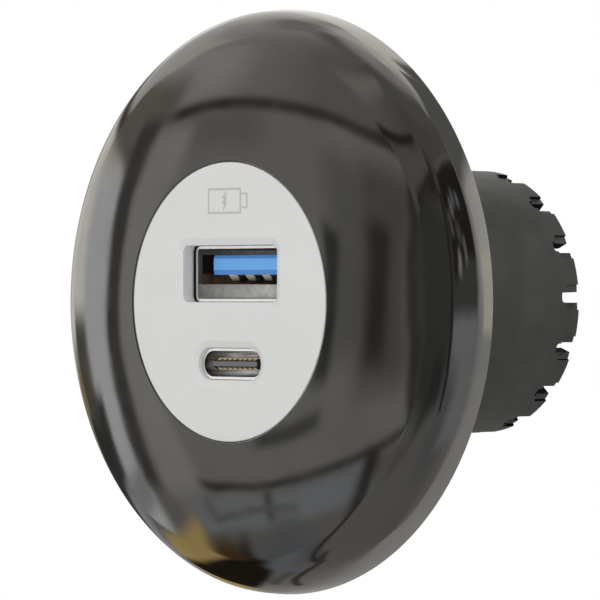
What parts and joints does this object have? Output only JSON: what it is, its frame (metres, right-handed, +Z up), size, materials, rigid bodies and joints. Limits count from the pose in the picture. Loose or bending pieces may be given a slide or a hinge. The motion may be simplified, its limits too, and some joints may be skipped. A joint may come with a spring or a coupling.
{
  "type": "panel-mount usb socket",
  "caption": "Round panel-mount charging socket: domed plated trim ring, pale face disc with a wide and a narrow USB port, slotted barrel behind the panel.",
  "frame": {"origin": "on the barrel's axis, in the plane of the panel's front face", "axes": "+Y back along the barrel, -Y out of the face, +Z up (wide port above the narrow one), +X to the right seen from the front"},
  "size_m": [0.06, 0.0428, 0.06],
  "materials": {
    "plated_metal": "polished black-nickel plating",
    "fascia_plastic": "fine satin moulding",
    "barrel_plastic": "matte moulding",
    "cover_plastic": "matte moulding",
    "carrier_plastic": "matte moulding",
    "foam_rubber": "closed-cell foam",
    "port_steel": "nickel-plated sheet",
    "black_plastic": "glass-filled moulding",
    "blue_plastic": "satin moulding",
    "grey_plastic": "satin moulding",
    "contact_gold": "gold flash",
    "circuit_board": "solder mask",
    "chip_plastic": "moulded case",
    "spacer_brass": "turned",
    "screw_steel": "zinc plated",
    "ferrite": "pressed powder",
    "tinned_metal": "tin plated",
    "can_aluminium": "bare can",
    "fuse_ceramic": "ceramic"
  },
  "bodies": {
    "housing": {"bezel": "plated_metal", "bezel_screws": "screw_steel", "panel_gasket": "foam_rubber", "barrel": "barrel_plastic", "fascia": "fascia_plastic", "socket_carrier": "carrier_plastic", "usb_a_shell": "port_steel", "usb_a_insulator": "black_plastic", "usb_a_tongue": "blue_plastic", "usb_a_legs": "contact_gold", "usb_c_shell": "port_steel", "usb_c_body": "black_plastic", "usb_c_tongue": "grey_plastic", "usb_c_upper_contacts": "contact_gold", "usb_c_lower_contacts": "contact_gold", "port_board": "circuit_board", "charge_controllers": "chip_plastic", "board_standoffs": "spacer_brass", "board_screws": "screw_steel", "link_header": "black_plastic", "link_pins": "contact_gold", "power_board": "circuit_board", "inductor": "ferrite", "inductor_leads": "tinned_metal", "input_capacitor": "can_aluminium", "output_capacitors": "can_aluminium", "buck_controller": "chip_plastic", "power_transistors": "chip_plastic", "fuse": "fuse_ceramic", "blade_terminals": "tinned_metal", "rear_cover": "cover_plastic"},
    "contact_springs": {"usb_a_contacts": "contact_gold"}
  },
  "joints": [
    {"name": "contact_flex", "type": "hinge", "parent": "housing", "child": "contact_springs", "pos_m": [0, 0.00502, 0.00308], "axis": [-1, 0, 0], "range_deg": [0, 4], "stiffness_Nm_per_rad": 0.16}
  ]
}
